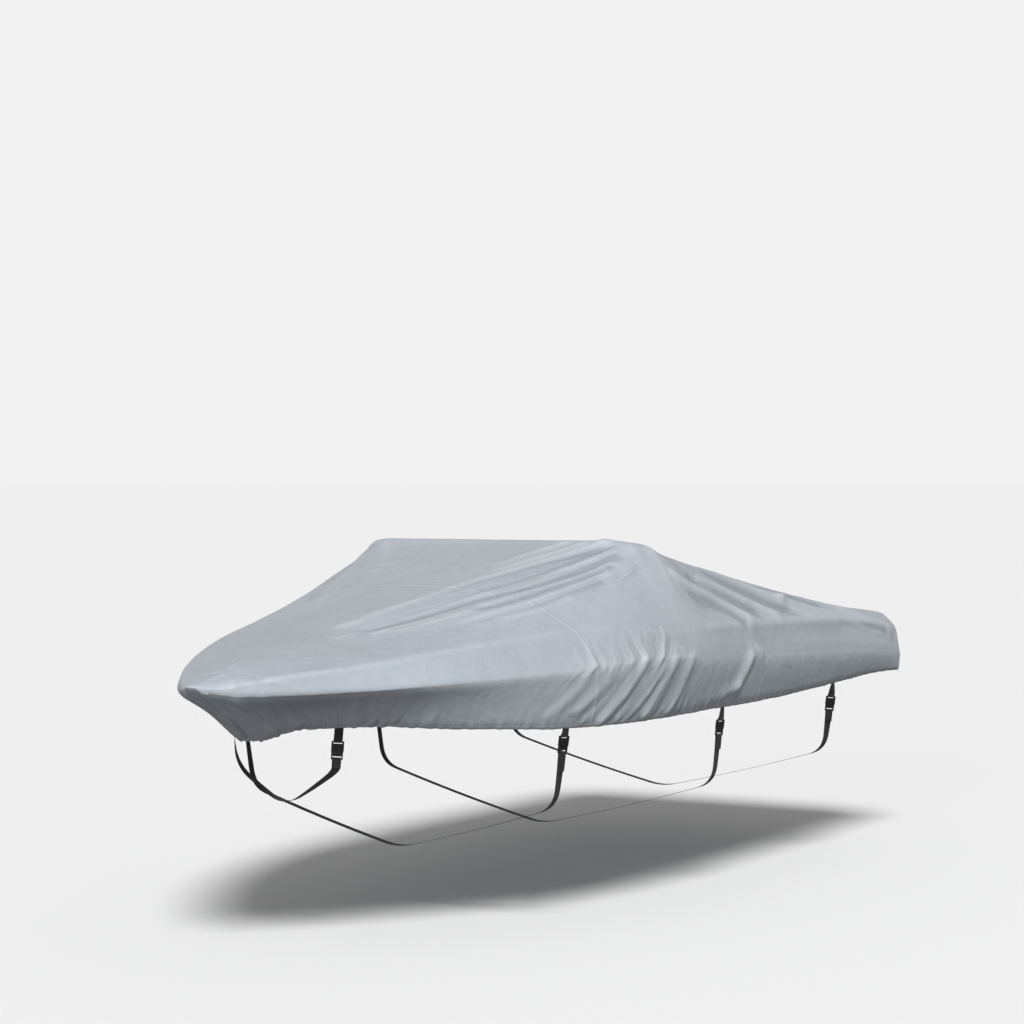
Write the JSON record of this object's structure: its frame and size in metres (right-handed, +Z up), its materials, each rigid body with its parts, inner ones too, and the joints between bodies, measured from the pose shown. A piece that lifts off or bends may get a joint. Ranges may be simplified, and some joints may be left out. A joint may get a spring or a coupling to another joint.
{
  "type": "boat cover",
  "caption": "Fitted cloth cover for a runabout, peaked over a windshield bar, with an elastic hem and buckled belly straps.",
  "frame": {"origin": "underside of the cloth on the centre line over the crest, where the windshield bar holds it up", "axes": "+X towards the bow, +Y to port, +Z up"},
  "size_m": [5.0736, 2.0802, 1.3964],
  "materials": {
    "cloth": "blue-grey coated polyester, dull with a faint sheen",
    "webbing": "black woven webbing",
    "acetal": "black moulded plastic with a fine texture"
  },
  "bodies": {
    "root": {"bow_panel": "cloth", "main_panel": "cloth", "strap_1": "webbing", "strap_2": "webbing", "strap_3": "webbing", "strap_4": "webbing", "tab_1": "webbing", "tab_2": "webbing", "tab_3": "webbing", "tab_4": "webbing", "buckle_1": "acetal", "buckle_2": "acetal", "buckle_3": "acetal", "buckle_4": "acetal", "plug_1": "acetal", "plug_2": "acetal", "plug_3": "acetal", "plug_4": "acetal"}
  },
  "joints": []
}
